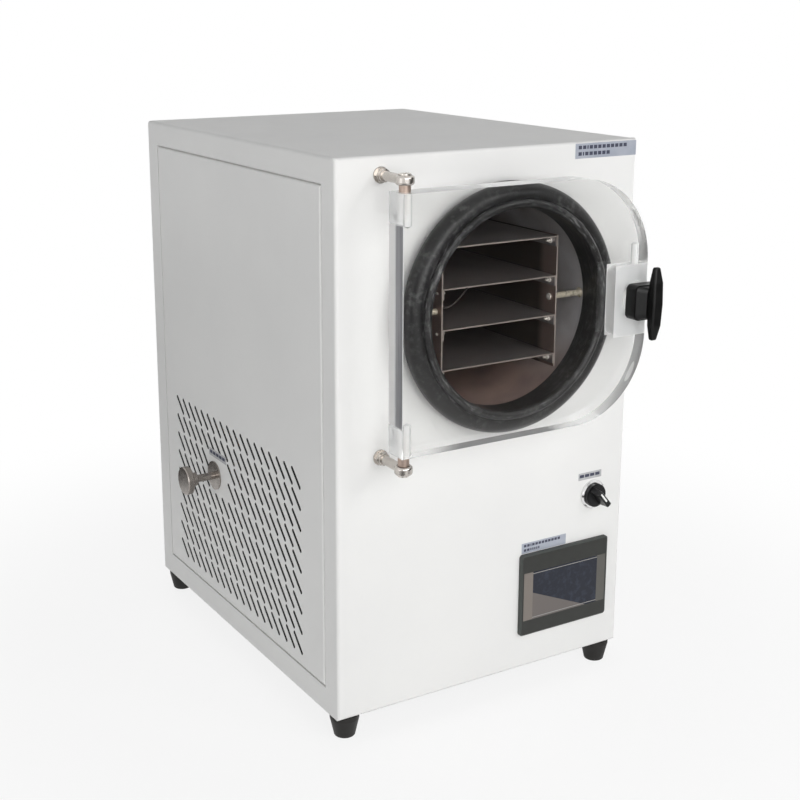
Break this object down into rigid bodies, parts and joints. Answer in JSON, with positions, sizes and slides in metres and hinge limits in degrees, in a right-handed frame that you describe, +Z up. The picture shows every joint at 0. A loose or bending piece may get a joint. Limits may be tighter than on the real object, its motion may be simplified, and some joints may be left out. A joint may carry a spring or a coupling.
{
  "type": "freeze dryer",
  "caption": "Bench freeze dryer: steel cabinet, drum chamber with shelf rack behind a clear swinging door, clamp screw, touch panel, selector and drain valve.",
  "frame": {"origin": "floor level, under the middle of the whole object's box, knobs and rear port included", "axes": "+X to the object's right as seen from the front, -Y out of the front, +Z up"},
  "size_m": [0.4446, 0.6319, 0.658],
  "materials": {
    "painted_white": "fine-textured powder coat",
    "zinc_plate": "zinc plated",
    "screw_steel": "stainless, as turned",
    "foot_rubber": "matte moulded rubber",
    "drum_steel": "brushed stainless in shade",
    "gasket_rubber": "satin extruded rubber",
    "copper": "drawn copper tube",
    "foam": "closed-cell foam",
    "rack_steel": "mill-finish stainless sheet",
    "heater_film": "silicone heating mat",
    "probe_sheath": "braided sheath",
    "black_paint": "semi-gloss black",
    "core_aluminium": "plain fin stock",
    "dark_plastic": "moulded nylon",
    "box_paint": "grey paint",
    "polished_steel": "polished stainless",
    "bronze": "turned bronze, dull",
    "brass": "machined brass",
    "clear_acrylic": "clear cast acrylic, polished edges",
    "frosted_acrylic": "milled, milky acrylic",
    "post_steel": "dark turned steel",
    "white_nylon": "turned nylon",
    "black_plastic": "moulded phenolic, semi-gloss",
    "bezel_plastic": "fine-textured dark grey",
    "display_glass": "dark display glass, screen off",
    "bright_ring": "plated ring"
  },
  "bodies": {
    "cabinet": {"front_panel": "painted_white", "top_panel": "painted_white", "left_frame": "painted_white", "right_frame": "painted_white", "left_panel": "painted_white", "right_panel": "painted_white", "rear_panel": "painted_white", "base_plate": "zinc_plate", "drum_deck": "zinc_plate", "rear_screws": "screw_steel", "foot_screws": "screw_steel", "rack_screws": "screw_steel", "feet": "foot_rubber", "compressor_grommets": "foot_rubber", "chamber_drum": "drum_steel", "drum_gasket": "gasket_rubber", "evaporator_coil": "copper", "refrigerant_pipes": "copper", "filter_drier": "copper", "drain_pipe": "copper", "drum_insulation": "foam", "rack_side_left": "rack_steel", "rack_side_right": "rack_steel", "shelf_1": "rack_steel", "shelf_2": "rack_steel", "shelf_3": "rack_steel", "shelf_4": "rack_steel", "rack_pins": "rack_steel", "shelf_heaters": "heater_film", "probe_lead": "probe_sheath", "compressor": "black_paint", "fan_shroud": "black_paint", "fan_motor": "black_paint", "condenser_core": "core_aluminium", "power_inlet": "dark_plastic", "selector_body": "dark_plastic", "control_box": "box_paint", "vacuum_port": "polished_steel", "valve_escutcheon": "polished_steel", "rod_ends": "polished_steel", "hinge_nuts": "polished_steel", "valve_body": "brass", "clamp_post": "post_steel", "hmi_housing": "bezel_plastic", "hmi_screen": "display_glass", "selector_ring": "bright_ring"},
    "door": {"door_plate": "clear_acrylic", "latch_block": "frosted_acrylic", "latch_dowel": "frosted_acrylic", "hinge_bolts": "polished_steel", "hinge_spacers": "bronze"},
    "clamp_slider": {"clamp_washer": "white_nylon"},
    "clamp_screw": {"clamp_stud": "polished_steel", "clamp_knob": "black_plastic"},
    "selector": {"selector_handle": "black_plastic"},
    "drain_knob": {"valve_knob": "polished_steel", "knob_set_screws": "polished_steel"},
    "fan": {"fan_rotor": "dark_plastic"}
  },
  "joints": [
    {"name": "door_swing", "type": "hinge", "parent": "cabinet", "child": "door", "pos_m": [-0.1243, -0.26605, 0.484], "axis": [0, 0, -1], "range_deg": [0, 170]},
    {"name": "clamp_travel", "type": "slide", "parent": "door", "child": "clamp_slider", "axis": [0, -1, 0], "range_m": [0, 0.012]},
    {"name": "clamp_turn", "type": "hinge", "parent": "clamp_slider", "child": "clamp_screw", "pos_m": [0.1777, -0.29305, 0.484], "axis": [0, -1, 0], "range_deg": [0, 2419]},
    {"name": "selector_turn", "type": "hinge", "parent": "cabinet", "child": "selector", "pos_m": [0.1757, -0.22605, 0.2315], "axis": [0, 1, 0], "range_deg": [0, 90]},
    {"name": "drain_knob_turn", "type": "hinge", "parent": "cabinet", "child": "drain_knob", "pos_m": [-0.1983, 0.10055, 0.222], "axis": [-1, 0, 0], "range_deg": [0, 90]},
    {"name": "fan_spin", "type": "hinge", "parent": "cabinet", "child": "fan", "pos_m": [-0.1183, -0.05005, 0.178], "axis": [1, 0, 0], "continuous": true}
  ],
  "couplings": [
    {"joint": "clamp_travel", "follows": "clamp_turn", "m_per_rad": 0.00027852}
  ]
}
